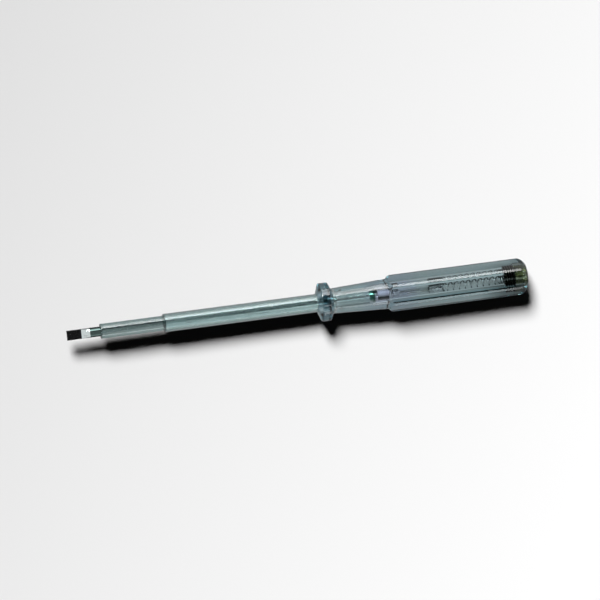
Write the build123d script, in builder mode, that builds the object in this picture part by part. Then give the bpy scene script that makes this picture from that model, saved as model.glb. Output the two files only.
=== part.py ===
from build123d import *
import math
import os

os.makedirs("parts", exist_ok=True)

# Driving dimensions, in millimetres. The tool lies along X with its tip's end face at zero,
# the handle towards +X, the blade's flat and two of the grip's flats facing up and down.

# Overall lengths
shaft_reach = 102.8
handle_length = 87.2

# Blade, a round steel rod with a ground flat tip
rod_diameter = 4.0
tip_thickness = 0.8
flat_length = 5.5
flat_end_thickness = 1.1
ramp_length = 4.4
rod_in_handle = 23.4
rod_end_chamfer = 0.5
wing_setback = 0.6
wing_length = 2.4
wing_height = 0.9
wing_thickness = 1.4

# Insulating sleeves on the rod
sleeve_gap = 0.05
bare_length = 13.7
inner_sleeve_wall = 0.95
outer_sleeve_setback = 25.9
outer_sleeve_wall = 0.65
sleeve_in_handle = 7.5
sleeve_edge = 0.2

# Handle: collar, neck, six-sided grip
collar_diameter = 15.6
collar_face_rim = 0.7
collar_front_flank = 1.35
collar_rim_width = 3.6
collar_rear_flank = 1.15
collar_edge_radius = 0.6
neck_wall = 1.45
neck_length = 23.1
grip_across_flats = 13.5
grip_land_width = 1.0
shoulder_drop = 0.6
shoulder_length = 3.0
rear_round_length = 4.6
end_rim = 0.8
mouth_chamfer = 0.3

# Handle: bore for the lamp, and the seats of the end cap behind it
bore_clearance = 0.32
bore_cone_length = 2.0
thread_step = 0.45
head_step = 0.65
thread_run_out = 0.2
cap_fit_clearance = 0.05

# Resistor between the rod and the lamp
resistor_length = 7.6
resistor_diameter = 4.4
resistor_cap_length = 1.5
resistor_cap_wall = 0.3
cup_edge = 0.2

# Glow lamp: glass tube, two metal caps, two electrodes on their lead wires
lamp_length = 20.6
glass_diameter = 4.8
glass_wall = 0.5
glass_end_radius = 1.2
glass_fit_gap = 0.03
lamp_cap_wall = 0.25
lamp_front_cap_length = 2.5
lamp_rear_cap_length = 5.3
electrode_diameter = 0.8
electrode_offset = 0.75
electrode_overlap = 5.6
electrode_setback = 1.6
lead_diameter = 0.4

# Contact spring
wire_diameter = 0.5
wire_sides = 8
spring_clearance = 0.3
spring_pitch = 2.4
closed_gap = 0.47
front_closed_turns = 1
rear_closed_turns = 2
spring_seat_gap = 0.05
arcs_per_turn = 2

# End cap, a slotted brass plug
cap_recess = 1.0
head_length = 4.3
thread_length = 4.4
spigot_clearance = 0.4
spigot_length = 1.6
cap_edge = 0.3
slot_width = 1.2
slot_depth = 1.3

# Overrun of cutting shapes past the faces that they cut
overrun = 1.0

# Radii of the tubes on the rod and of their seat in the handle, each from the one inside it
rod_radius = rod_diameter / 2
inner_sleeve_radius = rod_radius + sleeve_gap + inner_sleeve_wall
outer_sleeve_radius = inner_sleeve_radius + sleeve_gap + outer_sleeve_wall
neck_front_radius = outer_sleeve_radius + neck_wall
neck_rear_radius = grip_across_flats / 2 - shoulder_drop

# Radii inside the handle: the bore takes the wider of the lamp and the resistor
glass_radius = glass_diameter / 2
lamp_cap_radius = glass_radius + glass_fit_gap + lamp_cap_wall
resistor_cap_radius = resistor_diameter / 2 + resistor_cap_wall
bore_radius = max(lamp_cap_radius, resistor_cap_radius) + bore_clearance
coil_radius = bore_radius - spring_clearance - wire_diameter / 2
spigot_radius = coil_radius - wire_diameter / 2 - spigot_clearance
thread_radius = bore_radius + thread_step
head_radius = thread_radius + head_step
end_face_radius = head_radius + end_rim

# Stations along X, worked out from the lengths above
tool_end = shaft_reach + handle_length
rod_end = shaft_reach + rod_in_handle
sleeve_end = shaft_reach + sleeve_in_handle
inner_sleeve_start = bare_length
outer_sleeve_start = inner_sleeve_start + outer_sleeve_setback
wing_start = sleeve_end + wing_setback
wing_end = wing_start + wing_length
rim_front = shaft_reach + collar_front_flank
rim_rear = rim_front + collar_rim_width
neck_front = rim_rear + collar_rear_flank
neck_rear = neck_front + neck_length
shoulder_end = neck_rear + shoulder_length
round_start = tool_end - rear_round_length
resistor_end = rod_end + resistor_length
lamp_end = resistor_end + lamp_length
cap_face = tool_end - cap_recess
head_front = cap_face - head_length
thread_front = head_front - thread_length

# Blade
# A round rod. Its tip is ground to two flats that thicken a little towards a ramp on each
# side, and two wings pinched out of it behind the sleeves keep it from turning.
with BuildPart() as blade:
    with BuildSketch(Plane.YZ):
        Circle(rod_radius)
    extrude(amount=rod_end)
    rod_end_edge = blade.edges().filter_by(GeomType.CIRCLE).sort_by(Axis.X)[-1]
    chamfer(rod_end_edge, rod_end_chamfer)
    with BuildSketch(Plane.XZ):
        with BuildLine():
            Polyline(
                (-overrun, tip_thickness / 2),
                (0, tip_thickness / 2),
                (flat_length, flat_end_thickness / 2),
                (flat_length + ramp_length, rod_radius),
                (flat_length + ramp_length, rod_diameter),
                (-overrun, rod_diameter),
                close=True,
            )
        make_face()
        mirror(about=Plane.XZ)
    extrude(amount=rod_diameter, both=True, mode=Mode.SUBTRACT)
    with BuildSketch(Plane.XY) as wing_outline:
        with BuildLine():
            Polyline(
                (wing_start, rod_radius / 2),
                (wing_start, rod_radius),
                (wing_end - wing_length / 4, rod_radius + wing_height),
                (wing_end, rod_radius + wing_height),
                (wing_end, rod_radius / 2),
                close=True,
            )
        make_face()
        mirror(about=Plane.XZ)
    extrude(amount=wing_thickness / 2, both=True)
blade.part.label = "blade"
export_step(blade.part, "parts/blade.step")

# Inner sleeve
# A plastic tube pushed over the rod, from just behind the tip into the handle.
with BuildPart() as inner_sleeve:
    with BuildSketch(Plane.YZ.offset(inner_sleeve_start)):
        Circle(inner_sleeve_radius)
        Circle(rod_radius + sleeve_gap, mode=Mode.SUBTRACT)
    extrude(amount=sleeve_end - inner_sleeve_start)
    inner_sleeve_mouth = inner_sleeve.edges().filter_by(GeomType.CIRCLE).group_by(Axis.X)[0]
    chamfer(inner_sleeve_mouth.sort_by(SortBy.RADIUS)[-1], sleeve_edge)
inner_sleeve.part.label = "inner_sleeve"
export_step(inner_sleeve.part, "parts/inner_sleeve.step")

# Outer sleeve
# A second tube over the first, which starts further back and fills the handle's nose.
with BuildPart() as outer_sleeve:
    with BuildSketch(Plane.YZ.offset(outer_sleeve_start)):
        Circle(outer_sleeve_radius)
        Circle(inner_sleeve_radius + sleeve_gap, mode=Mode.SUBTRACT)
    extrude(amount=sleeve_end - outer_sleeve_start)
    outer_sleeve_mouth = outer_sleeve.edges().filter_by(GeomType.CIRCLE).group_by(Axis.X)[0]
    chamfer(outer_sleeve_mouth.sort_by(SortBy.RADIUS)[-1], sleeve_edge)
outer_sleeve.part.label = "outer_sleeve"
export_step(outer_sleeve.part, "parts/outer_sleeve.step")

# Handle
# One clear moulding: a bevelled collar, a round neck that widens to the rear, and a grip
# with six flats, a narrow land along each edge between them, and rounded ends.
grip_corner_radius = grip_across_flats / math.sqrt(3)
sleeve_seat_radius = outer_sleeve_radius + sleeve_gap
thread_seat_radius = thread_radius + cap_fit_clearance
head_seat_radius = head_radius + cap_fit_clearance
with BuildPart() as handle:
    with BuildSketch(Plane.YZ.offset(neck_rear)) as grip_section:
        RegularPolygon(grip_across_flats / 2, 6, major_radius=False)
        chamfer(grip_section.vertices(), grip_land_width / math.sqrt(3))
    extrude(amount=tool_end - neck_rear)
    with BuildSketch(Plane.XY):
        with BuildLine():
            TangentArc(
                (shoulder_end, grip_corner_radius),
                (neck_rear, neck_rear_radius),
                tangent=(-1, 0),
            )
            TangentArc(
                (round_start, grip_corner_radius),
                (tool_end, end_face_radius),
                tangent=(1, 0),
            )
            Line((shoulder_end, grip_corner_radius), (round_start, grip_corner_radius))
            Polyline(
                (neck_rear, neck_rear_radius),
                (neck_rear, 0),
                (tool_end, 0),
                (tool_end, end_face_radius),
            )
        make_face()
    revolve(axis=Axis.X, mode=Mode.INTERSECT)
    with BuildSketch(Plane.XY) as neck_profile:
        with BuildLine():
            Polyline(
                (shaft_reach, 0),
                (shaft_reach, outer_sleeve_radius + collar_face_rim),
                (rim_front, collar_diameter / 2),
                (rim_rear, collar_diameter / 2),
                (neck_front, neck_front_radius),
                (neck_rear, neck_rear_radius),
                (neck_rear, 0),
                close=True,
            )
        make_face()
        rim_corners = neck_profile.vertices().group_by(Axis.Y)[-1]
        fillet(rim_corners, collar_edge_radius)
    revolve(axis=Axis.X)
    with BuildSketch(Plane.XY):
        with BuildLine():
            Polyline(
                (shaft_reach - overrun, 0),
                (shaft_reach - overrun, sleeve_seat_radius),
                (sleeve_end, sleeve_seat_radius),
                (sleeve_end, rod_radius),
                (rod_end - bore_cone_length, rod_radius),
                (rod_end, bore_radius),
                (thread_front - thread_run_out, bore_radius),
                (thread_front - thread_run_out, thread_seat_radius),
                (head_front, thread_seat_radius),
                (head_front, head_seat_radius),
                (tool_end - mouth_chamfer, head_seat_radius),
                (tool_end, head_seat_radius + mouth_chamfer),
                (tool_end + overrun, head_seat_radius + mouth_chamfer),
                (tool_end + overrun, 0),
                close=True,
            )
        make_face()
    revolve(axis=Axis.X, mode=Mode.SUBTRACT)
    add(wing_outline.sketch)
    extrude(amount=wing_thickness / 2, both=True, mode=Mode.SUBTRACT)
handle.part.label = "handle"
export_step(handle.part, "parts/handle.step")

# Resistor body
# A plain dark rod that limits the current, held between two pressed metal caps.
with BuildPart() as resistor_body:
    with BuildSketch(Plane.YZ.offset(rod_end + resistor_cap_wall)):
        Circle(resistor_diameter / 2)
    extrude(amount=resistor_length - 2 * resistor_cap_wall)
    chamfer(resistor_body.edges().filter_by(GeomType.CIRCLE), resistor_cap_wall)
resistor_body.part.label = "resistor_body"
export_step(resistor_body.part, "parts/resistor_body.step")


# Metal cup
# A drawn cup over the end of a round body: its closed end stands at closed_x and its mouth
# looks along X in the direction of open_sign.
def cup(closed_x, open_sign, length, outer_radius, wall):
    mouth_x = closed_x + open_sign * length
    floor_x = closed_x + open_sign * wall
    with BuildPart() as made:
        with BuildSketch(Plane.XY) as cup_profile:
            with BuildLine():
                Polyline(
                    (closed_x, 0),
                    (closed_x, outer_radius),
                    (mouth_x, outer_radius),
                    (mouth_x, outer_radius - wall),
                    (floor_x, outer_radius - wall),
                    (floor_x, 0),
                    close=True,
                )
            make_face()
            closed_corner = cup_profile.vertices().sort_by_distance((closed_x, outer_radius))[0]
            chamfer(closed_corner, cup_edge)
        revolve(axis=Axis.X)
    return made


# Resistor caps
resistor_front_cap = cup(rod_end, 1, resistor_cap_length, resistor_cap_radius, resistor_cap_wall)
resistor_front_cap.part.label = "resistor_front_cap"
export_step(resistor_front_cap.part, "parts/resistor_front_cap.step")

resistor_rear_cap = cup(
    resistor_end, -1, resistor_cap_length, resistor_cap_radius, resistor_cap_wall
)
resistor_rear_cap.part.label = "resistor_rear_cap"
export_step(resistor_rear_cap.part, "parts/resistor_rear_cap.step")

# Lamp glass
# A sealed glass tube with rounded ends, hollow for the gas, which each lead wire passes.
glass_front = resistor_end + lamp_cap_wall
glass_rear = lamp_end - lamp_cap_wall
with BuildPart() as lamp_glass:
    with BuildSketch(Plane.YZ.offset(glass_front)):
        Circle(glass_radius)
    extrude(amount=glass_rear - glass_front)
    fillet(lamp_glass.edges().filter_by(GeomType.CIRCLE), glass_end_radius)
    with BuildSketch(Plane.XY):
        with BuildLine():
            Polyline(
                (glass_front + glass_wall, 0),
                (glass_front + glass_wall, glass_radius - glass_end_radius),
                (glass_front + glass_end_radius, glass_radius - glass_wall),
                (glass_rear - glass_end_radius, glass_radius - glass_wall),
                (glass_rear - glass_wall, glass_radius - glass_end_radius),
                (glass_rear - glass_wall, 0),
                close=True,
            )
        make_face()
    revolve(axis=Axis.X, mode=Mode.SUBTRACT)
    with BuildSketch(Plane.YZ.offset(glass_front)):
        with Locations((electrode_offset, 0)):
            Circle(lead_diameter / 2)
    extrude(amount=glass_wall, mode=Mode.SUBTRACT)
    with BuildSketch(Plane.YZ.offset(glass_rear)):
        with Locations((-electrode_offset, 0)):
            Circle(lead_diameter / 2)
    extrude(amount=-glass_wall, mode=Mode.SUBTRACT)
lamp_glass.part.label = "lamp_glass"
export_step(lamp_glass.part, "parts/lamp_glass.step")

# Lamp caps
lamp_front_cap = cup(resistor_end, 1, lamp_front_cap_length, lamp_cap_radius, lamp_cap_wall)
lamp_front_cap.part.label = "lamp_front_cap"
export_step(lamp_front_cap.part, "parts/lamp_front_cap.step")

lamp_rear_cap = cup(lamp_end, -1, lamp_rear_cap_length, lamp_cap_radius, lamp_cap_wall)
lamp_rear_cap.part.label = "lamp_rear_cap"
export_step(lamp_rear_cap.part, "parts/lamp_rear_cap.step")

# Lamp electrodes and leads
# Two nickel rods lie side by side and overlap in the middle of the tube. Each is welded to
# a thin wire, which leaves through its own end of the glass to the floor of its cap.
lamp_middle = (glass_front + lamp_front_cap_length + glass_rear - lamp_rear_cap_length) / 2
front_root = glass_front + glass_wall + electrode_setback
rear_root = glass_rear - glass_wall - electrode_setback


def round_bar(start_x, end_x, offset_y, diameter):
    with BuildPart() as made:
        with BuildSketch(Plane.YZ.offset(start_x)):
            with Locations((offset_y, 0)):
                Circle(diameter / 2)
        extrude(amount=end_x - start_x)
    return made


front_tip = lamp_middle + electrode_overlap / 2
lamp_front_electrode = round_bar(front_root, front_tip, electrode_offset, electrode_diameter)
lamp_front_electrode.part.label = "lamp_front_electrode"
export_step(lamp_front_electrode.part, "parts/lamp_front_electrode.step")

rear_tip = lamp_middle - electrode_overlap / 2
lamp_rear_electrode = round_bar(rear_root, rear_tip, -electrode_offset, electrode_diameter)
lamp_rear_electrode.part.label = "lamp_rear_electrode"
export_step(lamp_rear_electrode.part, "parts/lamp_rear_electrode.step")

lamp_front_lead = round_bar(glass_front, front_root, electrode_offset, lead_diameter)
lamp_front_lead.part.label = "lamp_front_lead"
export_step(lamp_front_lead.part, "parts/lamp_front_lead.step")

lamp_rear_lead = round_bar(glass_rear, rear_root, -electrode_offset, lead_diameter)
lamp_rear_lead.part.label = "lamp_rear_lead"
export_step(lamp_rear_lead.part, "parts/lamp_rear_lead.step")

# Spring
# A wire coiled from the lamp's rear cap to the end cap, close-wound at both ends. Its line
# is a helix drawn as pairs of arcs, a pair to each half turn, that meet tangent.
coil_start = lamp_end + spring_seat_gap + wire_diameter / 2
coil_end = thread_front - spring_seat_gap - wire_diameter / 2
closed_pitch = wire_diameter + closed_gap
closed_length = (front_closed_turns + rear_closed_turns) * closed_pitch
open_length = coil_end - coil_start - closed_length
open_turns = max(1, round(open_length / spring_pitch))
open_pitch = open_length / open_turns
coil_turns = front_closed_turns + open_turns + rear_closed_turns


def coil_x(turn):
    closed_front = min(turn, front_closed_turns)
    closed_rear = max(turn - front_closed_turns - open_turns, 0)
    open_part = turn - closed_front - closed_rear
    return coil_start + (closed_front + closed_rear) * closed_pitch + open_part * open_pitch


def coil_point(turn):
    angle = math.tau * turn
    return Vector(coil_x(turn), coil_radius * math.cos(angle), coil_radius * math.sin(angle))


def coil_direction(turn):
    step = 1 / arcs_per_turn
    before = max(turn - step, 0)
    after = min(turn + step, coil_turns)
    climb = (coil_x(after) - coil_x(before)) / (after - before)
    angle = math.tau * turn
    around = math.tau * coil_radius
    return Vector(climb, -around * math.sin(angle), around * math.cos(angle)).normalized()


def biarc(start, start_direction, end, end_direction):
    chord = end - start
    both = start_direction + end_direction
    bend = 2 * (1 - start_direction.dot(end_direction))
    lean = chord.dot(both)
    reach = (math.sqrt(lean * lean + bend * chord.dot(chord)) - lean) / bend
    first_corner = start + start_direction * reach
    second_corner = end - end_direction * reach
    middle = (first_corner + second_corner) * 0.5
    TangentArc(start, middle, tangent=start_direction)
    TangentArc(middle, end, tangent=second_corner - first_corner)


with BuildPart() as spring:
    with BuildLine():
        for step in range(coil_turns * arcs_per_turn):
            here = step / arcs_per_turn
            there = (step + 1) / arcs_per_turn
            biarc(coil_point(here), coil_direction(here), coil_point(there), coil_direction(there))
    with BuildSketch(Plane(origin=coil_point(0), z_dir=coil_direction(0))):
        RegularPolygon(wire_diameter / 2, wire_sides)
    sweep()
spring.part.label = "spring"
export_step(spring.part, "parts/spring.step")

# Least gap between turns of the spring, measured on points along its line
points_per_turn = 48
coil_points = [coil_point(n / points_per_turn) for n in range(coil_turns * points_per_turn + 1)]
least_gap = min(
    (coil_points[a] - coil_points[b]).length - wire_diameter
    for a in range(len(coil_points))
    for b in range(a + points_per_turn // 2, min(a + 2 * points_per_turn, len(coil_points)))
)
print(f"spring: {coil_turns} turns, open pitch {open_pitch:.2f} mm, least gap {least_gap:.2f} mm")

# End cap
# A brass plug: a spigot that centres the spring, a threaded shank, and a slotted head that
# the user's thumb touches through the open end of the handle.
with BuildPart() as end_cap:
    with BuildSketch(Plane.XY):
        with BuildLine():
            Polyline(
                (thread_front - spigot_length, 0),
                (thread_front - spigot_length, spigot_radius - cap_edge),
                (thread_front - spigot_length + cap_edge, spigot_radius),
                (thread_front, spigot_radius),
                (thread_front, thread_radius - cap_edge),
                (thread_front + cap_edge, thread_radius),
                (head_front, thread_radius),
                (head_front, head_radius),
                (cap_face - cap_edge, head_radius),
                (cap_face, head_radius - cap_edge),
                (cap_face, 0),
                close=True,
            )
        make_face()
    revolve(axis=Axis.X)
    with BuildSketch(Plane.YZ.offset(cap_face)):
        Rectangle(2 * head_radius + overrun, slot_width)
    extrude(amount=-slot_depth, mode=Mode.SUBTRACT)
end_cap.part.label = "end_cap"
export_step(end_cap.part, "parts/end_cap.step")
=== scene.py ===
import bmesh
import bpy
import math
from mathutils import Matrix, Vector


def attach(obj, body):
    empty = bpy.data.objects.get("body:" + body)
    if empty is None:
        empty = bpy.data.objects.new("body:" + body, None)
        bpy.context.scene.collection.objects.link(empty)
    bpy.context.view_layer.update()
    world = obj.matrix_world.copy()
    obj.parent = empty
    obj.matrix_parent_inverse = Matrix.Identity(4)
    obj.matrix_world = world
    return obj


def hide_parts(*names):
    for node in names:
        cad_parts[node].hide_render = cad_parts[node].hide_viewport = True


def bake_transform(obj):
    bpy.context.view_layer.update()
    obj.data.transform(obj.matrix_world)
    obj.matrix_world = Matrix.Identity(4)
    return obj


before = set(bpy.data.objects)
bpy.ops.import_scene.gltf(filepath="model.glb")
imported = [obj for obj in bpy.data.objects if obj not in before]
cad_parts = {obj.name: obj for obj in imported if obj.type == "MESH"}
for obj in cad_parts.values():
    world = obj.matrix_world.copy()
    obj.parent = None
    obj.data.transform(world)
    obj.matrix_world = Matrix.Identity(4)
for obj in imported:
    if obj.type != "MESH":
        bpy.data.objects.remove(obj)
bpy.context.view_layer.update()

# Camera
# A long lens looks down on the tool, leaning a little to the tip's end and to the far side,
# and is rolled so that the tool climbs to the right.
lean_to_tip = math.radians(9.0)
lean_to_far_side = math.radians(9.5)
climb_to_right = math.radians(7.48)
middle_of_view = Vector((0.0961, 0.0021, 0.0))
camera_distance, lens_length, camera_reach = 2.0, 295.7, 20
toward_camera = Vector((-math.sin(lean_to_tip), math.sin(lean_to_far_side), 1)).normalized()
along_tool = (Vector((1, 0, 0)) - toward_camera * toward_camera.x).normalized()
across_tool = toward_camera.cross(along_tool)
view_right = along_tool * math.cos(climb_to_right) - across_tool * math.sin(climb_to_right)
view_up = along_tool * math.sin(climb_to_right) + across_tool * math.cos(climb_to_right)
view_turn = Matrix((view_right, view_up, toward_camera)).transposed().to_euler()
bpy.ops.object.camera_add(
    location=middle_of_view + toward_camera * camera_distance, rotation=view_turn
)
camera = bpy.context.object
camera.data.lens = lens_length
camera.data.clip_end = camera_reach
bpy.context.scene.camera = camera

# Floor
# A plain pale board. The tool rests on its collar and on the rear end of its grip, so the
# board slopes up to the rear by less than a degree. Its tone rises a little to the near right.
board_size = 8
collar_rest_x, collar_rest_z = 0.1072, -0.0078
grip_rest_x, grip_rest_z = 0.1879, -0.00675
floor_slope = math.atan2(grip_rest_z - collar_rest_z, grip_rest_x - collar_rest_x)
bpy.ops.object.select_all(action="DESELECT")
bpy.ops.mesh.primitive_plane_add(
    size=board_size, location=(collar_rest_x, 0, collar_rest_z), rotation=(0, -floor_slope, 0)
)
floor = bpy.context.object
floor.name = "floor"


def new_material(name):
    """A material, its nodes' tree and its shader."""
    material = bpy.data.materials.new(name)
    material.use_nodes = True
    return material, material.node_tree, material.node_tree.nodes["Principled BSDF"]


def give(tree, node, values):
    """Gives a node the values of its inputs. An output of another node is linked."""
    for key, value in values.items():
        if isinstance(value, bpy.types.NodeSocket):
            tree.links.new(value, node.inputs[key])
        else:
            node.inputs[key].default_value = value


def put(tree, kind, values=None, **settings):
    """Adds a node with its settings and the values of its inputs."""
    node = tree.nodes.new("ShaderNode" + kind)
    for key, value in settings.items():
        setattr(node, key, value)
    give(tree, node, values or {})
    return node


def worked(tree, operation, *values, **settings):
    """The result of one sum, on outputs of other nodes or plain numbers."""
    return put(tree, "Math", dict(enumerate(values)), operation=operation, **settings).outputs[0]


def ranged(tree, value, start, end, low=0.0, high=1.0, **settings):
    """A value that runs from low to high while the given one runs from start to end."""
    values = {"Value": value, "From Min": start, "From Max": end, "To Min": low, "To Max": high}
    return put(tree, "MapRange", values, **settings).outputs[0]


# The board is lit by the lamp. Metal and plastic see it as a plain pale sheet with a painted
# shadow:
# dimmer under the tool, and darkest on the near side toward the grip's rear end, a painted
# contact shadow.
rise_to_right, rise_to_near, rise_reach = 0.76, -0.65, 0.25
board_low, board_high = 0.57, 1.07
board_darkest, board_palest = 0.64, 0.97
shade_y, shade_half, shade_end = -0.016, 0.018, 0.06
shade_strength, open_strength = 0.37, 0.95
contact_start, contact_end, contact_strength = 0.064, 0.074, 0.4
near_start, near_end = 0.002, -0.001

board, tree, shader = new_material("pale_board")
place = put(tree, "TexCoord").outputs["Object"]
on_board = put(tree, "SeparateXYZ", {0: place}).outputs
to_right = worked(tree, "MULTIPLY", on_board["X"], rise_to_right)
to_near = worked(tree, "MULTIPLY_ADD", on_board["Y"], rise_to_near, to_right)
tone = ranged(tree, to_near, -rise_reach, rise_reach, board_low, board_high)
limits = {"Value": tone, "Min": board_darkest, "Max": board_palest}
pale = put(tree, "Clamp", limits).outputs[0]
give(tree, shader, {"Base Color": pale, "Roughness": 0.9, "Specular IOR Level": 0.0})
rays = put(tree, "LightPath").outputs
shiny = worked(tree, "MAXIMUM", rays["Is Glossy Ray"], rays["Is Transmission Ray"])
aside = worked(tree, "ABSOLUTE", worked(tree, "ADD", on_board["Y"], -shade_y))
shadow_under_tool = ranged(
    tree, aside, shade_half, shade_end, shade_strength, open_strength,
    interpolation_type="SMOOTHSTEP",
)
# Painted contact shadow on the near side, toward where the grip's rear end rests.
contact_shadow = ranged(tree, on_board["X"], contact_start, contact_end, 1.0, contact_strength)
near_side = ranged(tree, on_board["Y"], near_start, near_end, 1.0, contact_shadow)
shaded = worked(tree, "MULTIPLY", shadow_under_tool, near_side)
lit_board = put(tree, "Emission", {"Color": pale, "Strength": shaded})
board_mix = put(
    tree, "MixShader", {"Fac": shiny, 1: shader.outputs[0], 2: lit_board.outputs[0]}
)
give(tree, tree.nodes["Material Output"], {"Surface": board_mix.outputs[0]})
floor.data.materials.append(board)

# Studio light
# One round soft lamp stands above the tool's far side and throws its shadow to the near side.
# A pale tent round it fills the metal and the plastic, with a dark opening above the tool.
lamp_direction = Vector((-0.34, 0.95, 1)).normalized()
lamp_distance, lamp_size, lamp_power = 6.0, 2.0, 566
lit_place = Vector((0.1, 0, 0))
lamp_turn = lamp_direction.to_track_quat("Z", "Y").to_euler()
bpy.ops.object.light_add(
    type="AREA", location=lit_place + lamp_direction * lamp_distance, rotation=lamp_turn
)
soft_lamp = bpy.context.object
soft_lamp.name = "soft_lamp"
soft_lamp.data.shape = "DISK"
soft_lamp.data.size = lamp_size
soft_lamp.data.energy = lamp_power

white = (1, 1, 1, 1)
ambient_strength = 0.003
opening_shift, opening_scale = (-0.9, -0.37, 0), (6.2, 1.65, 0)
opening_start, opening_end = 0.9, 1.25
opening_strength, cloth_strength, lost_in_plastic = 0.01, 0.82, -0.3

tent = bpy.data.worlds.new("tent")
bpy.context.scene.world = tent
tent.use_nodes = True
tree = tent.node_tree
ambient = tree.nodes["Background"]
give(tree, ambient, {"Color": white, "Strength": ambient_strength})
direction = put(tree, "TexCoord").outputs["Generated"]
centred = put(
    tree, "Mapping", {"Vector": direction, "Location": opening_shift, "Scale": opening_scale},
    vector_type="POINT",
)
reach = put(tree, "VectorMath", {0: centred.outputs[0]}, operation="LENGTH").outputs["Value"]
opening = ranged(
    tree, reach, opening_start, opening_end, opening_strength, cloth_strength,
    interpolation_type="SMOOTHSTEP",
)
rays = put(tree, "LightPath").outputs
through = worked(tree, "MULTIPLY_ADD", rays["Is Transmission Ray"], lost_in_plastic, 1.0)
cloth = worked(tree, "MULTIPLY", opening, through)

# Strip lights that run along the tool. Three low, short ones show only as reflections off the
# outside. One narrow one overhead starts beyond what the tip's flats mirror, and also lights the
# metal inside the plastic.
low_strips = ((-66, 8, 2.0), (72, 24, 3.6), (58, 10, 5.0))
strip_middle, strip_half = 0.15, 0.15
overhead_strip, overhead_start = (-15.5, 4, 3.0), 0.135
sky = put(tree, "SeparateXYZ", {0: direction}).outputs
lean = worked(tree, "ARCTAN2", sky["Y"], sky["Z"])


def strip_light(tilt, half_width, strength, others=0.0):
    """A strip at a tilt from straight up, in degrees, added to others."""
    strip = worked(tree, "COMPARE", lean, math.radians(tilt), math.radians(half_width))
    return worked(tree, "MULTIPLY_ADD", strip, strength, others)


strips = 0.0
for low_strip in low_strips:
    strips = strip_light(*low_strip, strips)
direct = worked(tree, "LESS_THAN", rays["Transmission Depth"], 0.5)
on_surface = worked(tree, "MULTIPLY", strips, direct)
above_shaft = worked(tree, "COMPARE", sky["X"], strip_middle, strip_half)
short_strips = worked(tree, "MULTIPLY", on_surface, above_shaft)
with_strips = worked(tree, "MULTIPLY_ADD", short_strips, rays["Is Glossy Ray"], cloth)
overhead = strip_light(*overhead_strip)
ahead = worked(tree, "GREATER_THAN", sky["X"], overhead_start)
with_overhead = worked(tree, "MULTIPLY_ADD", overhead, ahead, with_strips)
tent_cloth = put(tree, "Background", {"Color": white, "Strength": with_overhead})
shiny = worked(tree, "MAXIMUM", rays["Is Glossy Ray"], rays["Is Transmission Ray"])
seen = worked(tree, "MAXIMUM", shiny, rays["Is Camera Ray"])
tent_mix = put(
    tree, "MixShader", {"Fac": seen, 1: ambient.outputs[0], 2: tent_cloth.outputs[0]}
)
give(tree, tree.nodes["World Output"], {"Surface": tent_mix.outputs[0]})
bpy.context.scene.view_settings.view_transform = "Standard"
bpy.context.scene.cycles.caustics_refractive = False
bpy.context.scene.cycles.caustics_reflective = False

# Blade
# A drawn steel rod of 4 mm, ground at the tip to two flats with a ramp behind each. Two wings
# pinched out of the rod, behind the sleeves, hold it in the handle that is moulded round it.
rod_radius = 0.002
rod_rear = 0.1262
rod_chamfer = 0.0005
tip_half = 0.0004
flat_end, flat_end_half = 0.0055, 0.00055
ramp_end = 0.0099
wheel_front, wheel_reach, ground_edge = -0.001, 0.004, 0.00015
wing_front, wing_shoulder, wing_rear = 0.1109, 0.1127, 0.1133
wing_root, wing_reach, wing_half, wing_edge = 0.0008, 0.0029, 0.0007, 0.00015
broken_edge = 0.00004
speck, weld_reach, same_point, same_place, hair = 1e-4, 3e-6, 2e-6, 1e-6, 1e-7


def drawn_line(name, points):
    """A line through points of the plane that holds the tool's axis, drawn from one vertex."""
    bpy.ops.object.select_all(action="DESELECT")
    bpy.ops.mesh.primitive_plane_add(size=speck, location=(points[0][0], points[0][1], 0))
    line = bpy.context.object
    line.name = name
    bpy.ops.object.transform_apply(location=True, rotation=True, scale=True)
    bpy.ops.object.mode_set(mode="EDIT")
    bpy.ops.mesh.select_mode(type="VERT")
    bpy.ops.mesh.select_all(action="SELECT")
    bpy.ops.mesh.merge(type="CENTER")
    for here, there in zip(points, points[1:]):
        step = (there[0] - here[0], there[1] - here[1], 0)
        bpy.ops.mesh.extrude_region_move(TRANSFORM_OT_translate={"value": step})
    bpy.ops.object.mode_set(mode="OBJECT")
    return line


def rounded(corners, closed=False):
    """The points of a turned outline. A corner is (x, radius) or (x, radius, rounding)."""
    points = []
    step = math.radians(10)
    for place, corner in enumerate(corners):
        if len(corner) == 2:
            points.append(corner)
            continue
        tip = Vector(corner[:2])
        to_last = (Vector(corners[place - 1][:2]) - tip).normalized()
        to_next = (Vector(corners[(place + 1) % len(corners)][:2]) - tip).normalized()
        turn = math.pi - to_last.angle(to_next)
        centre = tip + (to_last + to_next).normalized() * corner[2] / math.cos(turn / 2)
        start = tip + to_last * corner[2] * math.tan(turn / 2) - centre
        side = 1 if start.x * to_last.y - start.y * to_last.x < 0 else -1
        steps = max(2, round(turn / step))
        for n in range(steps + 1):
            arm = start.copy()
            arm.rotate(Matrix.Rotation(side * turn * n / steps, 2))
            points.append(tuple(centre + arm))
    return points + points[:1] if closed else points


def turned(name, outline, steps=128):
    """A piece turned round the tool's axis from its outline, closed on the axis or on itself."""
    piece = drawn_line(name, outline)
    bpy.ops.object.mode_set(mode="EDIT")
    bpy.ops.mesh.select_all(action="SELECT")
    bpy.ops.mesh.spin(steps=steps, angle=math.tau, center=(0, 0, 0), axis=(1, 0, 0))
    bpy.ops.mesh.select_all(action="SELECT")
    bpy.ops.mesh.remove_doubles(threshold=same_point)
    bpy.ops.mesh.normals_make_consistent(inside=False)
    bpy.ops.object.mode_set(mode="OBJECT")
    return piece


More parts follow.
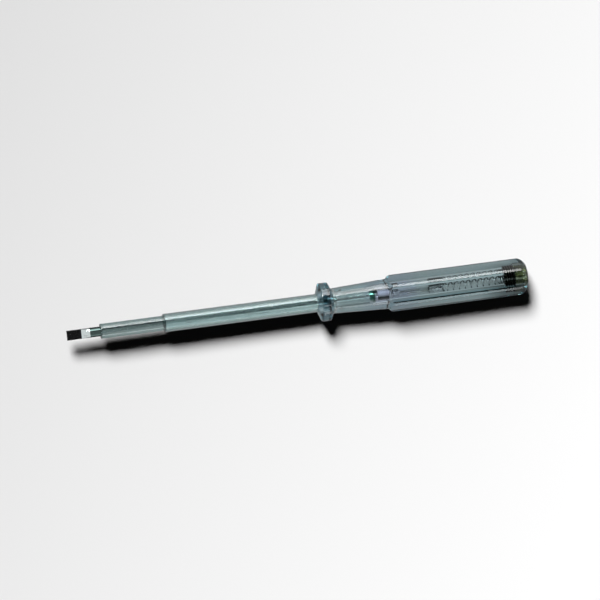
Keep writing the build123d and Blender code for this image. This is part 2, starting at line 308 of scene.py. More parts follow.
def block(name, low, high):
    """A block between two corners."""
    bpy.ops.object.select_all(action="DESELECT")
    middle = [(a + b) / 2 for a, b in zip(low, high)]
    size = [b - a for a, b in zip(low, high)]
    bpy.ops.mesh.primitive_cube_add(size=1, location=middle, scale=size)
    piece = bpy.context.object
    piece.name = name
    bpy.ops.object.transform_apply(location=True, rotation=True, scale=True)
    return piece


def pick(piece, kind, test):
    """Selects the points or the edges that pass the test, in edit mode. The test gets the middle
    and the corners of each."""
    bpy.ops.mesh.select_mode(type=kind)
    bpy.ops.mesh.select_all(action="DESELECT")
    work = bmesh.from_edit_mesh(piece.data)
    for part in work.verts if kind == "VERT" else work.edges:
        corners = [part.co] if kind == "VERT" else [v.co for v in part.verts]
        if test(sum(corners, Vector()) / len(corners), corners):
            part.select_set(True)
    bmesh.update_edit_mesh(piece.data)


def slice_at(x):
    """Cuts a line of edges across the whole piece that is in edit mode."""
    bpy.ops.mesh.select_all(action="SELECT")
    bpy.ops.mesh.bisect(plane_co=(x, 0, 0), plane_no=(1, 0, 0), threshold=hair)


def move_picked(piece, x, test, value):
    """Moves the points at one place along the tool that pass the test."""
    pick(piece, "VERT", lambda at, corners: abs(at.x - x) < same_place and test(at))
    bpy.ops.transform.translate(value=value)


def apply_modifier(piece, kind, **settings):
    """Adds a modifier with its settings and applies it."""
    bpy.ops.object.select_all(action="DESELECT")
    bpy.context.view_layer.objects.active = piece
    piece.select_set(True)
    bpy.ops.object.modifier_add(type=kind)
    modifier = piece.modifiers[-1]
    for key, value in settings.items():
        setattr(modifier, key, value)
    bpy.ops.object.modifier_apply(modifier=modifier.name)


def cut_with(piece, tool, operation="DIFFERENCE"):
    """Cuts, joins or trims the piece with a second one, which is used up."""
    apply_modifier(piece, "BOOLEAN", operation=operation, object=tool, solver="EXACT")
    bpy.data.objects.remove(tool)


def weld(piece):
    """Merges the points that a cut or a bevel left in one place."""
    bpy.context.view_layer.objects.active = piece
    bpy.ops.object.mode_set(mode="EDIT")
    bpy.ops.mesh.select_all(action="SELECT")
    bpy.ops.mesh.remove_doubles(threshold=weld_reach)
    bpy.ops.object.mode_set(mode="OBJECT")


def smooth(piece, degrees):
    """Shades the piece smooth where its faces meet at less than the angle."""
    bpy.ops.object.select_all(action="DESELECT")
    bpy.context.view_layer.objects.active = piece
    piece.select_set(True)
    bpy.ops.object.shade_smooth_by_angle(angle=math.radians(degrees))
    apply_modifier(piece, "WEIGHTED_NORMAL", keep_sharp=True, weight=60)


blade = turned("steel_blade", [
    (0, 0), (0, rod_radius), (rod_rear - rod_chamfer, rod_radius),
    (rod_rear, rod_radius - rod_chamfer), (rod_rear, 0),
])
wheel = block(
    "grinding_wheel", (wheel_front, -wheel_reach, tip_half), (ramp_end, wheel_reach, wheel_reach)
)
bpy.ops.object.mode_set(mode="EDIT")
slice_at(0)
slice_at(flat_end)
move_picked(
    wheel, flat_end, lambda at: at.z < rod_radius / 2, (0, 0, flat_end_half - tip_half)
)
move_picked(wheel, ramp_end, lambda at: at.z < rod_radius / 2, (0, 0, rod_radius - tip_half))
pick(wheel, "EDGE", lambda at, corners: at.z < rod_radius / 2 and all(
    abs(c.x - flat_end) < same_place for c in corners
))
bpy.ops.mesh.bevel(offset=ground_edge, segments=4, affect="EDGES")
bpy.ops.object.mode_set(mode="OBJECT")
apply_modifier(wheel, "MIRROR", use_axis=(False, False, True), use_mirror_merge=False)
cut_with(blade, wheel)
wing = block("wing", (wing_front, wing_root, -wing_half), (wing_rear, wing_reach, wing_half))
bpy.ops.object.mode_set(mode="EDIT")
slice_at(wing_shoulder)
move_picked(
    wing, wing_front, lambda at: at.y > rod_radius, (0, rod_radius - wing_reach, 0)
)
pick(wing, "EDGE", lambda at, corners: min(c.y for c in corners) > rod_radius - 10 * same_place)
bpy.ops.mesh.bevel(offset=wing_edge, segments=3, affect="EDGES")
bpy.ops.object.mode_set(mode="OBJECT")
apply_modifier(wing, "MIRROR", use_axis=(False, True, False), use_mirror_merge=False)
cut_with(blade, wing, "UNION")
apply_modifier(
    blade, "BEVEL", width=broken_edge, segments=2, limit_method="ANGLE", angle_limit=0.5
)
weld(blade)
smooth(blade, 25)


def new_group(name, inputs):
    """A node group with number or vector inputs, the outputs that carry them, and the input
    that takes its one mask."""
    group = bpy.data.node_groups.new(name, "ShaderNodeTree")
    for word, kind, value in inputs:
        socket = group.interface.new_socket(word, in_out="INPUT", socket_type="NodeSocket" + kind)
        socket.default_value = value
    group.interface.new_socket("Mask", in_out="OUTPUT", socket_type="NodeSocketFloat")
    given, taken = group.nodes.new("NodeGroupInput"), group.nodes.new("NodeGroupOutput")
    return group, given.outputs, taken.inputs["Mask"]


# Grain drawn out by a different amount along each axis: drawing, turning and grinding lines.
grain_group, given, mask = new_group(
    "tool_grain", [("Stretch", "Vector", (60, 5000, 5000)), ("Contrast", "Float", 1.0)]
)
place = put(grain_group, "TexCoord").outputs["Object"]
stretched = put(grain_group, "VectorMath", {0: place, 1: given["Stretch"]}, operation="MULTIPLY")
noise = put(grain_group, "TexNoise", {
    "Vector": stretched.outputs[0], "Scale": 1.0, "Detail": 3.0, "Roughness": 0.6,
})
spread = worked(grain_group, "SUBTRACT", noise.outputs["Fac"], 0.5)
harder = worked(grain_group, "MULTIPLY", spread, given["Contrast"])
grain_group.links.new(worked(grain_group, "ADD", harder, 0.5, use_clamp=True), mask)

# Sparse scratches from handling: the rare peaks of a stretched noise on a slant.
scratch_group, given, mask = new_group(
    "handling_scratches", [("Scale", "Float", 400.0), ("Amount", "Float", 0.5)]
)
slant, draw_out = (0.5, 0.35, 0.4), (0.12, 1.0, 1.0)
peak_start, peak_end = 0.66, 0.74
place = put(scratch_group, "TexCoord").outputs["Object"]
slanted = put(
    scratch_group, "Mapping", {"Vector": place, "Rotation": slant, "Scale": draw_out}
)
larger = put(
    scratch_group, "VectorMath", {0: slanted.outputs[0], "Scale": given["Scale"]},
    operation="SCALE",
)
noise = put(scratch_group, "TexNoise", {
    "Vector": larger.outputs[0], "Scale": 1.0, "Detail": 2.0, "Roughness": 0.5,
})
peaks = ranged(scratch_group, noise.outputs["Fac"], peak_start, peak_end)
scratch_group.links.new(worked(scratch_group, "MULTIPLY", peaks, given["Amount"]), mask)

# The light that the clear round body gathers along the top of what lies in it: a band on each
# side of a lean from straight up, measured round the tool's axis. The underside has it too.
top_group, given, mask = new_group(
    "light_along_top", [("Lean", "Float", 0.0), ("Half", "Float", 0.3)]
)
outside_band, inside_band = 1.25, 0.75
place = put(top_group, "TexCoord").outputs["Object"]
split = put(top_group, "SeparateXYZ", {0: place}).outputs
angle = worked(top_group, "ARCTAN2", split["Y"], worked(top_group, "ABSOLUTE", split["Z"]))
away = worked(top_group, "ABSOLUTE", worked(top_group, "SUBTRACT", angle, given["Lean"]))
share = worked(top_group, "DIVIDE", away, given["Half"])
top_group.links.new(ranged(top_group, share, outside_band, inside_band), mask)


def grain(tree, stretch, contrast=1.0):
    """Grain with so many lines a metre along each axis."""
    values = {"Stretch": stretch, "Contrast": contrast}
    return put(tree, "Group", values, node_tree=grain_group).outputs["Mask"]


def scratches(tree, scale, amount):
    values = {"Scale": scale, "Amount": amount}
    return put(tree, "Group", values, node_tree=scratch_group).outputs["Mask"]


def along_top(tree, lean, half):
    """The band of light along the top, its lean and half width in degrees."""
    values = {"Lean": math.radians(lean), "Half": math.radians(half)}
    return put(tree, "Group", values, node_tree=top_group).outputs["Mask"]


def between(tree, mask, low, high):
    """A value that runs from low to high with the mask."""
    return ranged(tree, mask, 0.0, 1.0, low, high)


def blended(tree, mask, first, second):
    """A colour or a value that runs from the first to the second with the mask."""
    ends = [(*end, 1) if isinstance(end, tuple) else end for end in (first, second)]
    values = {"Fac": mask, "Color1": ends[0], "Color2": ends[1]}
    return put(tree, "MixRGB", values).outputs[0]


def raised(tree, shader, height, distance):
    """Raises the surface by the height's pattern."""
    bump = put(tree, "Bump", {"Height": height, "Strength": 1.0, "Distance": distance})
    give(tree, shader, {"Normal": bump.outputs[0]})


def from_tip(tree):
    """The place along the tool."""
    place = put(tree, "TexCoord").outputs["Object"]
    return put(tree, "SeparateXYZ", {0: place}).outputs["X"]


def finish_piece(piece, material, body, slot, *replaced):
    """Gives the piece its material and its body, and hides the CAD nodes that it replaces. The
    slot is not used.
    """
    piece.data.materials.clear()
    piece.data.materials.append(material)
    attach(piece, body)
    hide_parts(*replaced)


# The rod's colour is painted darker in front of the outer sleeve, brighter inside both sleeves
# and darker again in the neck, as painted shade and painted light. The tip's flats are painted
# darker and its ramps paler, as painted shade and painted highlight. The flats end in a dark
# line, and the bare rod in front of the inner sleeve is dark teal.
outer_sleeve_front, cover_half = 0.0396, 0.001
neck_start, neck_end = 0.110, 0.112
rod_start = ramp_end - 0.0002
ramp_start, ramp_full = flat_end + 0.0003, flat_end + 0.0005
flat_end_line_x, flat_end_line_half = flat_end + 0.0001, 0.0003
dark_teal_x, dark_teal_half = ramp_end + 0.0018, 0.0024

steel, tree, shader = new_material("blade_steel")
drawn = grain(tree, (50, 4500, 4500), 1.6)
ground = grain(tree, (9000, 250, 9000), 1.8)
x = from_tip(tree)
is_rod = ranged(tree, x, rod_start, ramp_end)
covered = ranged(tree, x, outer_sleeve_front - cover_half, outer_sleeve_front + cover_half)
in_neck = ranged(tree, x, neck_start, neck_end)
on_ramp = ranged(tree, x, ramp_start, ramp_full)
flat_end_line = worked(tree, "COMPARE", x, flat_end_line_x, flat_end_line_half)
dark_teal_band = worked(tree, "COMPARE", x, dark_teal_x, dark_teal_half)
# Painted shade and painted light: the rod is darker in front of the outer sleeve, brighter inside
# both sleeves and darker in the neck.
rod_shade_colour = blended(tree, drawn, (0.27, 0.30, 0.30), (0.42, 0.45, 0.45))
rod_lit_colour = blended(tree, drawn, (0.66, 0.68, 0.69), (0.94, 0.95, 0.96))
neck_shade_colour = blended(tree, drawn, (0.36, 0.42, 0.42), (0.62, 0.68, 0.68))
# Painted shade and painted highlight: the flats are painted darker, the ramps paler and teal.
flat_shade_colour = blended(tree, ground, (0.40, 0.41, 0.42), (0.60, 0.61, 0.62))
ramp_highlight_colour = blended(tree, ground, (0.50, 0.57, 0.57), (0.84, 0.90, 0.90))
shaft_colour = blended(tree, covered, rod_shade_colour, rod_lit_colour)
rod_colour = blended(tree, in_neck, shaft_colour, neck_shade_colour)
ground_colour = blended(tree, on_ramp, flat_shade_colour, ramp_highlight_colour)
tip_colour = blended(tree, flat_end_line, ground_colour, (0.02, 0.02, 0.025))
colour = blended(tree, is_rod, tip_colour, rod_colour)
worn = blended(tree, scratches(tree, 900, 0.6), colour, (0.30, 0.29, 0.28))
bare_rough, covered_rough = between(tree, drawn, 0.09, 0.16), between(tree, drawn, 0.18, 0.30)
rod_rough = blended(tree, covered, bare_rough, covered_rough)
give(tree, shader, {
    "Base Color": blended(tree, dark_teal_band, worn, (0.06, 0.09, 0.085)),
    "Roughness": blended(tree, is_rod, between(tree, ground, 0.04, 0.08), rod_rough),
    "Metallic": 1,
})
lines = blended(tree, is_rod, between(tree, ground, 0.0, 0.03), drawn)
raised(tree, shader, lines, 0.000004)
finish_piece(blade, steel, "handle", "blade_steel", "blade")

# Inner sleeve
# A clear plastic tube pushed over the rod, cut square and its outer edge broken. It insulates
# the shaft from just behind the tip to the seat inside the handle.
sleeve_rear = 0.1103
inner_sleeve_front = 0.0137
inner_sleeve_radius, inner_sleeve_bore = 0.003, 0.00205
front_edge, rear_edge, bore_edge = 0.0002, 0.0001, 0.00005


def cut_tube(name, front, rear, radius, bore):
    """A tube cut square, its outer edge in front rounded the most."""
    tube = turned(name, rounded([
        (front, bore, bore_edge), (front, radius, front_edge),
        (rear, radius, rear_edge), (rear, bore, bore_edge),
    ], closed=True))
    smooth(tube, 25)
    return tube


inner_sleeve = cut_tube(
    "clear_inner_sleeve", inner_sleeve_front, sleeve_rear, inner_sleeve_radius, inner_sleeve_bore
)


def clear_plastic(name, tint, density, ior, rough, flow_lines, depth, *films_and_shading):
    """A clear plastic that soaks up a little light, with flow lines along it, fine scratches and
    a patchy tint at each place (x, reach, colour, outermost radius, least strength) of
    films_and_shading: a film of dirt, a plain tint, or painted shade."""
    material, tree, shader = new_material(name)
    rubbed = scratches(tree, 500, 0.7)
    place = put(tree, "TexCoord").outputs["Object"]
    x = put(tree, "SeparateXYZ", {0: place}).outputs["X"]
    across = put(tree, "VectorMath", {0: place, 1: (0, 1, 1)}, operation="MULTIPLY").outputs[0]
    from_axis = put(tree, "VectorMath", {0: across}, operation="LENGTH").outputs["Value"]
    patches = grain(tree, (330, 330, 330), 4.0)
    clean = blended(tree, rubbed, (1, 1, 1), (0.86, 0.87, 0.86))
    for middle, reach, film_or_shade, outermost, least in films_and_shading:
        away = worked(tree, "ABSOLUTE", worked(tree, "SUBTRACT", x, middle))
        tint_band = ranged(tree, away, reach, 0.6 * reach)
        near_axis = worked(tree, "LESS_THAN", from_axis, outermost)
        tint_band_there = worked(tree, "MULTIPLY", tint_band, near_axis)
        patchy = worked(tree, "MULTIPLY", tint_band_there, between(tree, patches, least, 1.0))
        clean = blended(tree, patchy, clean, film_or_shade)
    give(tree, shader, {
        "Base Color": clean, "Roughness": between(tree, rubbed, rough, rough + 0.12),
        "Transmission Weight": 1, "IOR": ior,
    })
    raised(tree, shader, grain(tree, flow_lines, 1.3), depth)
    soak = put(tree, "VolumeAbsorption", {"Color": (*tint, 1), "Density": density})
    give(tree, tree.nodes["Material Output"], {"Volume": soak.outputs[0]})
    return material


everywhere = 1
end_soil = (0.14, 0.22, 0.22)
sleeve_plastic = clear_plastic(
    "sleeve_plastic", (0.08, 0.68, 0.67), 220, 1.6, 0.03, (18, 1800, 1800), 0.000015,
    (inner_sleeve_front, 0.0006, end_soil, everywhere, 0.3),
    (outer_sleeve_front, 0.0007, end_soil, everywhere, 0.3),
)
finish_piece(inner_sleeve, sleeve_plastic, "handle", "sleeve_plastic", "inner_sleeve")

# Outer sleeve
# A second clear tube over the first. It stiffens the shaft from a third of its length on, and
# its rear end fills the nose of the handle.
outer_sleeve_radius, outer_sleeve_bore = 0.0037, 0.00305
outer_sleeve = cut_tube(
    "clear_outer_sleeve", outer_sleeve_front, sleeve_rear, outer_sleeve_radius, outer_sleeve_bore
)
finish_piece(outer_sleeve, sleeve_plastic, "handle", "sleeve_plastic", "outer_sleeve")

# Handle
# One clear moulding of cellulose acetate round the rod: a bevelled collar, a round neck and a
# grip with six flats, bored from the rear for the lamp and tapped for the end cap.
handle_front, handle_rear = 0.1028, 0.19
mouth_radius, mouth_rim, mouth_rounding = 0.00385, 0.0044, 0.0003
sleeve_hole_start, sleeve_hole_radius = 0.1029, 0.00375
collar_radius, rim_front, rim_rear, collar_rounding = 0.0078, 0.10415, 0.10775, 0.0006
neck_front, neck_front_radius = 0.1089, 0.00515
neck_rear, neck_rear_radius = 0.132, 0.00615
shoulder_end, round_start = 0.135, 0.1854
corner_radius, land_width, land_edge, end_face_radius = 0.007794, 0.001, 0.00008, 0.0049
bore_radius, bore_floor, rod_hole_radius = 0.003, 0.1242, 0.00196
seat_radius, seat_mouth, seat_mouth_radius = 0.00409, 0.1897, 0.00445
thread_front, head_front, cap_face = 0.1803, 0.1847, 0.189
tapped_radius, tap_core, tap_crest = 0.00284, 0.0028, 0.00344
pitch = 0.001
tap_lead_in, tap_run_out = 0.0003, 0.0002
flank, crest_end, root_start = 0.38, 0.5, 0.88
mould_front, mould_rear, mould_radius = 0.1322, 0.192, 0.012
flats_middle, flats_length = 0.161, 0.07


def arc_points(flat_x, edge_x, edge_radius, steps):
    """Points from the end of the grip's full width, along the arc that rounds it off."""
    run, drop = abs(edge_x - flat_x), corner_radius - edge_radius
    radius = (run * run + drop * drop) / (2 * drop)
    sweep = math.asin(run / radius)
    side = math.copysign(1, edge_x - flat_x)
    return [
        (flat_x + side * radius * math.sin(sweep * n / steps),
         corner_radius - radius * (1 - math.cos(sweep * n / steps)))
        for n in range(steps + 1)
    ]


def saw_off(x, side):
    """Cuts the piece in edit mode off square at x, on the side given, and closes it."""
    bpy.ops.mesh.select_all(action="SELECT")
    bpy.ops.mesh.bisect(
        plane_co=(x, 0, 0), plane_no=(side, 0, 0), use_fill=True, clear_outer=True, threshold=hair
    )


def threaded_bar(name, core, crest, front, rear):
    """A right-handed screw thread of the cap's pitch, cut off square at both ends."""
    start = front - 1.5 * pitch
    turns = math.ceil((rear - front) / pitch) + 3
    profile = drawn_line(name, [
        (start, core), (start + flank * pitch, crest), (start + crest_end * pitch, crest),
        (start + root_start * pitch, core), (start + pitch, core),
    ])
    apply_modifier(
        profile, "SCREW", axis="X", angle=math.tau, screw_offset=pitch, iterations=turns,
        steps=64, render_steps=64,
    )
    bpy.ops.object.mode_set(mode="EDIT")
    bpy.ops.mesh.select_all(action="SELECT")
    bpy.ops.mesh.remove_doubles(threshold=same_point)
    saw_off(front, -1)
    saw_off(rear, 1)
    bpy.ops.mesh.select_all(action="SELECT")
    bpy.ops.mesh.normals_make_consistent(inside=False)
    bpy.ops.object.mode_set(mode="OBJECT")
    return profile


def bevel_long_edges(piece, offset, segments):
    """Takes off the edges of the piece in edit mode that run along the tool."""
    pick(piece, "EDGE", lambda at, corners: abs(corners[0].x - corners[1].x) > corner_radius)
    bpy.ops.mesh.bevel(offset=offset, segments=segments, affect="EDGES")


shoulder = arc_points(shoulder_end, neck_rear, neck_rear_radius, 12)
rear_round = arc_points(round_start, handle_rear, end_face_radius, 18)
outside = rounded([
    (handle_front, mouth_radius), (handle_front, mouth_rim, mouth_rounding),
    (rim_front, collar_radius, collar_rounding), (rim_rear, collar_radius, collar_rounding),
    (neck_front, neck_front_radius, collar_rounding), (neck_rear, neck_rear_radius),
])
bore = [
    (handle_rear, seat_mouth_radius), (seat_mouth, seat_radius), (head_front, seat_radius),
    (head_front, tapped_radius), (thread_front, tapped_radius),
    (thread_front - tap_run_out, bore_radius), (rod_rear, bore_radius),
    (bore_floor, rod_hole_radius),
    (sleeve_rear, rod_hole_radius), (sleeve_rear, sleeve_hole_radius),
    (sleeve_hole_start, sleeve_hole_radius), (handle_front, mouth_radius),
]
handle = turned("clear_handle", outside + shoulder[-2::-1] + rear_round + bore, 192)
tap = threaded_bar(
    "tap", tap_core, tap_crest, thread_front - tap_lead_in, head_front + tap_run_out
)
cut_with(handle, tap)

bpy.ops.object.select_all(action="DESELECT")
bpy.ops.mesh.primitive_cylinder_add(
    vertices=6, radius=corner_radius, depth=flats_length, location=(flats_middle, 0, 0),
    rotation=(0, math.pi / 2, 0),
)
six_flats = bpy.context.object
bpy.ops.object.transform_apply(location=True, rotation=True, scale=True)
bpy.ops.object.mode_set(mode="EDIT")
bevel_long_edges(six_flats, land_width / math.sqrt(3), 1)
bevel_long_edges(six_flats, land_edge, 3)
bpy.ops.object.mode_set(mode="OBJECT")
mould = turned("mould", [
    (mould_front, 0), (mould_front, mould_radius), (mould_rear, mould_radius), (mould_rear, 0),
], 48)
cut_with(mould, six_flats)
cut_with(handle, mould)
weld(handle)
smooth(handle, 14)
handle_plastic = clear_plastic(
    "handle_plastic", (0.12, 0.54, 0.60), 76, 1.49, 0.02, (6, 900, 900), 0.000007,
    # At the collar, a painted shade for the dark shadow seen through it.
    (0.106, 0.0034, (0.22, 0.32, 0.40), everywhere, 0.25),
    # Over the neck's rear and the shoulder, a faint lilac tint; on the bore round the rod's rear
    # end, a dark green tint.
    (0.133, 0.013, (0.93, 0.90, 1.0), everywhere, 0.5),
    (0.1251, 0.0019, (0.13, 0.27, 0.21), 0.0033, 1),
    # At the rear end, a painted shade for the dark shadow seen through it.
    (0.188, 0.0045, (0.66, 0.70, 0.72), everywhere, 0.5),
)
finish_piece(handle, handle_plastic, "handle", "handle_plastic", "handle")

# Resistor
# A carbon rod in dark lacquer that limits the current through the lamp. A plated cup is pressed
# on each end: the front one touches the rod, the rear one the lamp.
resistor_front, resistor_rear, resistor_radius = 0.1265, 0.1335, 0.0022
resistor_rounding = 0.0003
front_cup, rear_cup = (0.1262, 0.1277), (0.1338, 0.1323)
resistor_cup_radius, resistor_cup_wall = 0.0025, 0.0003
cup_bend, cup_inner_bend, cup_lip = 0.0003, 0.0001, 0.00008
resistor_body = turned("lacquered_resistor", rounded([
    (resistor_front, 0), (resistor_front, resistor_radius, resistor_rounding),
    (resistor_rear, resistor_radius, resistor_rounding), (resistor_rear, 0),
]))
smooth(resistor_body, 30)


def pressed_cup(name, closed_end, open_end, radius, wall):
    """A thin cup pressed from sheet, its closed end first."""
    side = math.copysign(1, open_end - closed_end)
    inside = closed_end + side * wall
    cup = turned(name, rounded([
        (closed_end, 0), (closed_end, radius, cup_bend), (open_end, radius, cup_lip),
        (open_end, radius - wall, cup_lip), (inside, radius - wall, cup_inner_bend), (inside, 0),
    ]))
    smooth(cup, 30)
    return cup


resistor_front_cap = pressed_cup(
    "resistor_front_cup", *front_cup, resistor_cup_radius, resistor_cup_wall
)
resistor_rear_cap = pressed_cup(
    "resistor_rear_cup", *rear_cup, resistor_cup_radius, resistor_cup_wall
)

# The lacquer is black. Its upper side is pale and part metal, which stands for the light that
# falls on it through the plastic.
lacquer, tree, shader = new_material("resistor_lacquer")
speckle = grain(tree, (2500, 2500, 2500), 2.0)
black = blended(tree, speckle, (0.004, 0.004, 0.003), (0.014, 0.013, 0.010))
bloomed = blended(tree, speckle, (0.47, 0.48, 0.54), (0.62, 0.63, 0.69))
upper = along_top(tree, 29, 37)
give(tree, shader, {
    "Base Color": blended(tree, upper, black, bloomed),
    "Metallic": between(tree, upper, 0.0, 0.9),
    "Roughness": between(tree, speckle, 0.5, 0.65),
})
raised(tree, shader, speckle, 0.00001)
finish_piece(resistor_body, lacquer, "handle", "resistor_dark", "resistor_body")

# The plating is painted near black, as painted shade, outside a painted band of light that runs
# from its top round to its near side, above and below.
plating, tree, shader = new_material("nickel_plating")
dulled = grain(tree, (900, 900, 900), 2.2)
plate_bright = blended(tree, dulled, (0.34, 0.34, 0.35), (0.66, 0.66, 0.68))
give(tree, shader, {
    "Base Color": blended(tree, along_top(tree, -32, 58), (0.02, 0.022, 0.022), plate_bright),
    "Metallic": 1,
    "Roughness": between(tree, dulled, 0.4, 0.16),
})
raised(tree, shader, grain(tree, (6000, 500, 500), 1.0), 0.000004)
finish_piece(resistor_front_cap, plating, "handle", "plated_metal", "resistor_front_cap")
finish_piece(resistor_rear_cap, plating, "handle", "plated_metal", "resistor_rear_cap")

# Lamp
# A glow lamp: a sealed tube of clear glass with two nickel rods side by side. Their leads go
# out through the ends of the glass to two plated cups.
glass_front, glass_rear, glass_radius, glass_wall = 0.13405, 0.15415, 0.0024, 0.0005
glass_rounding = 0.0012
lamp_cup_radius, lamp_cup_wall = 0.00268, 0.00025
lamp_front_cup, lamp_rear_cup = (0.1338, 0.1363), (0.1544, 0.1491)
electrode_radius, electrode_aside = 0.0004, 0.00075
electrode_rounding = 0.0003
front_glow, rear_glow = (0.13615, 0.1455), (0.1399, 0.15205)
lead_radius, lead_rounding = 0.0002, 0.00005
lamp_glass = turned("lamp_tube", rounded([
    (glass_front, 0), (glass_front, glass_radius, glass_rounding),
    (glass_rear, glass_radius, glass_rounding), (glass_rear, 0),
]))
apply_modifier(lamp_glass, "SOLIDIFY", thickness=glass_wall, offset=-1)
smooth(lamp_glass, 40)
lamp_front_cap = pressed_cup("lamp_front_cup", *lamp_front_cup, lamp_cup_radius, lamp_cup_wall)
lamp_rear_cap = pressed_cup("lamp_rear_cup", *lamp_rear_cup, lamp_cup_radius, lamp_cup_wall)


def lamp_rod(name, front, rear, radius, aside, rounding):
    """A rod with round ends that stands beside the tool's axis."""
    rod = turned(name, rounded([
        (front, 0), (front, radius, rounding), (rear, radius, rounding), (rear, 0),
    ]), 32)
    bpy.ops.object.mode_set(mode="EDIT")
    bpy.ops.mesh.select_all(action="SELECT")
    bpy.ops.transform.translate(value=(0, aside, 0))
    bpy.ops.object.mode_set(mode="OBJECT")
    smooth(rod, 40)
    return rod


front_electrode = lamp_rod(
    "front_glow_rod", *front_glow, electrode_radius, electrode_aside, electrode_rounding
)
rear_electrode = lamp_rod(
    "rear_glow_rod", *rear_glow, electrode_radius, -electrode_aside, electrode_rounding
)
front_lead = lamp_rod(
    "front_wire", glass_front, front_glow[0], lead_radius, electrode_aside, lead_rounding
)
rear_lead = lamp_rod(
    "rear_wire", rear_glow[1], glass_rear, lead_radius, -electrode_aside, lead_rounding
)

tube_glass, tree, shader = new_material("lamp_tube_glass")
smoked = grain(tree, (350, 500, 500), 2.0)
give(tree, shader, {
    "Base Color": blended(tree, smoked, (0.97, 0.98, 0.98), (0.80, 0.82, 0.82)),
    "Roughness": between(tree, smoked, 0.0, 0.05),
    "Transmission Weight": 1, "IOR": 1.5,
})
raised(tree, shader, grain(tree, (60, 700, 700), 1.2), 0.00001)
finish_piece(lamp_glass, tube_glass, "handle", "lamp_glass", "lamp_glass")
finish_piece(lamp_front_cap, plating, "handle", "plated_metal", "lamp_front_cap")
finish_piece(lamp_rear_cap, plating, "handle", "plated_metal", "lamp_rear_cap")

nickel, tree, shader = new_material("electrode_nickel")
sooty = grain(tree, (700, 2000, 2000), 2.0)
give(tree, shader, {
    "Base Color": blended(tree, sooty, (0.42, 0.41, 0.40), (0.78, 0.76, 0.74)),
    "Metallic": 1,
    "Roughness": between(tree, sooty, 0.55, 0.35),
})
raised(tree, shader, sooty, 0.000005)
for rod, node in (
    (front_electrode, "lamp_front_electrode"), (rear_electrode, "lamp_rear_electrode"),
    (front_lead, "lamp_front_lead"), (rear_lead, "lamp_rear_lead"),
):
    finish_piece(rod, nickel, "handle", "electrode_nickel", node)

# Spring
# A compression spring of drawn steel wire, wound right-handed, its end coils closed. It pushes
# the lamp and the resistor against the rod and carries the current to the end cap.
wire_radius, coil_radius = 0.00025, 0.00245
spring_front, spring_rear = 0.15475, 0.18
front_turns, open_turns, rear_turns = 1, 9, 2
closed_pitch = 0.00097
closed_length = (front_turns + rear_turns) * closed_pitch
open_pitch = (spring_rear - spring_front - closed_length) / open_turns


def coils(name, start, turn_pitch, turns):
    """Turns of the spring's wire from a ring of its section."""
    bpy.ops.object.select_all(action="DESELECT")
    bpy.ops.mesh.primitive_circle_add(
        vertices=14, radius=wire_radius, location=(start, coil_radius, 0)
    )
    wire = bpy.context.object
    wire.name = name
    bpy.ops.object.transform_apply(location=True, rotation=True, scale=True)
    apply_modifier(
        wire, "SCREW", axis="X", angle=math.tau, screw_offset=turn_pitch, iterations=turns,
        steps=60, render_steps=60,
    )
    return wire


spring = coils("wound_spring", spring_front, closed_pitch, front_turns)
after_front = spring_front + front_turns * closed_pitch
others = [
    coils("open_coils", after_front, open_pitch, open_turns),
    coils("rear_coils", after_front + open_pitch * open_turns, closed_pitch, rear_turns),
]
bpy.ops.object.select_all(action="DESELECT")
for piece in [*others, spring]:
    piece.select_set(True)
bpy.context.view_layer.objects.active = spring
bpy.ops.object.join()
bpy.ops.object.mode_set(mode="EDIT")
bpy.ops.mesh.select_mode(type="VERT")
bpy.ops.mesh.select_all(action="SELECT")
bpy.ops.mesh.remove_doubles(threshold=same_point)
bpy.ops.mesh.select_all(action="DESELECT")
bpy.ops.mesh.select_non_manifold()
bpy.ops.mesh.fill()
bpy.ops.mesh.select_all(action="SELECT")
bpy.ops.mesh.normals_make_consistent(inside=False)
bpy.ops.object.mode_set(mode="OBJECT")
smooth(spring, 50)

# The wire is painted near black, as painted shade, outside a painted band of light along its top
# and its underside.
wire_steel, tree, shader = new_material("spring_wire")
oiled = grain(tree, (1200, 1200, 1200), 2.0)
wire_bright = blended(tree, oiled, (0.50, 0.52, 0.53), (0.72, 0.74, 0.75))
give(tree, shader, {
    "Base Color": blended(tree, along_top(tree, 0, 21), (0.012, 0.014, 0.014), wire_bright),
    "Metallic": 1,
    "Roughness": between(tree, oiled, 0.42, 0.22),
})
raised(tree, shader, grain(tree, (9000, 3000, 3000), 1.2), 0.000003)
spring.data.materials.append(wire_steel)
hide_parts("spring")
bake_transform(spring)

# End cap
# A turned brass plug screwed into the rear of the grip. The user's finger touches its slotted
# head, and its spigot holds the spring.
spigot_front, spigot_radius = 0.1787, 0.0018
core_radius, crest_radius, head_radius = 0.00285, 0.00345, 0.0041
cap_dome, under_thread, spigot_edge = 0.0002, 0.0001, 0.0003
head_front_edge, head_rear_edge, knurl_margin = 0.0002, 0.0003, 0.0001
thread_lead_in, die_taper, thread_over = 0.0003, 0.0005, 0.00005
turning_steps, knurl_every, knurl_narrowing = 192, 4, 0.976
slot_depth, slot_half, saw_reach, saw_over = 0.0013, 0.0006, 0.006, 0.001
end_cap = turned("brass_end_cap", rounded([
    (spigot_front, 0), (spigot_front, spigot_radius, spigot_edge), (thread_front, spigot_radius),
    (thread_front, core_radius - under_thread),
    (head_front - under_thread, core_radius - under_thread),
    (head_front, head_radius, head_front_edge), (cap_face, head_radius, head_rear_edge),
    (cap_face + cap_dome, 0),
]), turning_steps)
bpy.ops.object.mode_set(mode="EDIT")
pick(
    end_cap, "VERT",
    lambda at, corners: head_front + knurl_margin < at.x < cap_face - knurl_margin
    and math.hypot(at.y, at.z) > head_radius - 2 * knurl_margin
    and round(math.atan2(at.z, at.y) / math.tau * turning_steps) % knurl_every == 0,
)
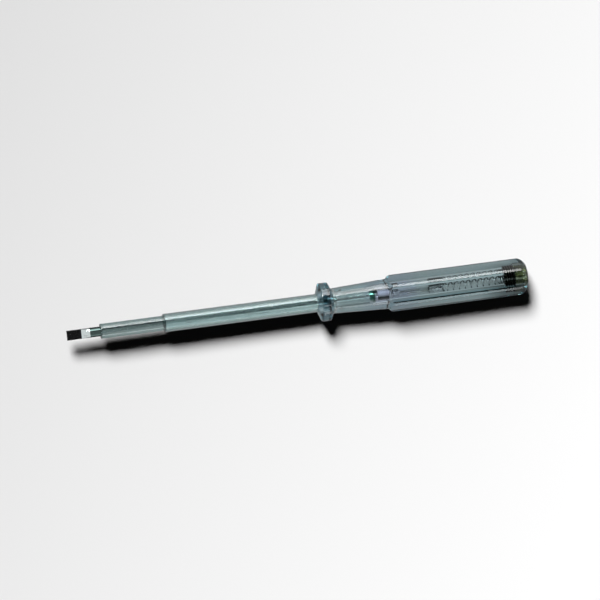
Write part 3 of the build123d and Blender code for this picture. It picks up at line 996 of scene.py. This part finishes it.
bpy.ops.transform.resize(
    value=(1, knurl_narrowing, knurl_narrowing), center_override=(0, 0, 0)
)
bpy.ops.object.mode_set(mode="OBJECT")
die = turned("die", [
    (thread_front, 0), (thread_front, core_radius), (thread_front + die_taper, crest_radius),
    (head_front + thread_over, crest_radius), (head_front + thread_over, 0),
])
thread = threaded_bar(
    "thread", core_radius, crest_radius, thread_front - thread_lead_in, head_front + die_taper
)
cut_with(thread, die, "INTERSECT")
cut_with(end_cap, thread, "UNION")
saw = block(
    "saw", (cap_face - slot_depth, -saw_reach, -slot_half),
    (cap_face + saw_over, saw_reach, slot_half),
)
cut_with(end_cap, saw)
apply_modifier(
    end_cap, "BEVEL", width=broken_edge, segments=2, limit_method="ANGLE", angle_limit=1.25
)
weld(end_cap)
smooth(end_cap, 25)

# Dull greenish brass on the head, with a painted line of light along the top of its side, and a
# thread painted near black, as painted shade, apart from such a line.
line_end = cap_face - 0.0004
head_tone_start, head_tone_end = head_front - 0.0002, head_front + 0.0006

brass, tree, shader = new_material("cap_brass")
lathe_lines = grain(tree, (7000, 400, 400), 1.4)
tarnish = grain(tree, (700, 900, 900), 2.4)
x = from_tip(tree)
fresh = blended(tree, lathe_lines, (0.04, 0.045, 0.015), (0.11, 0.12, 0.045))
aged = blended(tree, tarnish, (0.02, 0.024, 0.01), fresh)
rubbed = blended(tree, scratches(tree, 1500, 0.6), aged, (0.30, 0.30, 0.14))
on_side = worked(tree, "LESS_THAN", x, line_end)
top_of_side = worked(tree, "MULTIPLY", on_side, along_top(tree, 2, 6))
lit = blended(tree, top_of_side, rubbed, (0.34, 0.37, 0.24))
thread_shade_and_line = blended(tree, along_top(tree, 2, 7), (0.010, 0.010, 0.007), (0.20, 0.20, 0.19))
on_head = ranged(tree, x, head_tone_start, head_tone_end)
give(tree, shader, {
    "Base Color": blended(tree, on_head, thread_shade_and_line, lit),
    "Metallic": 1,
    "Roughness": between(tree, tarnish, 0.45, 0.2),
})
raised(tree, shader, lathe_lines, 0.000006)
finish_piece(end_cap, brass, "end_cap", "cap_brass", "end_cap")
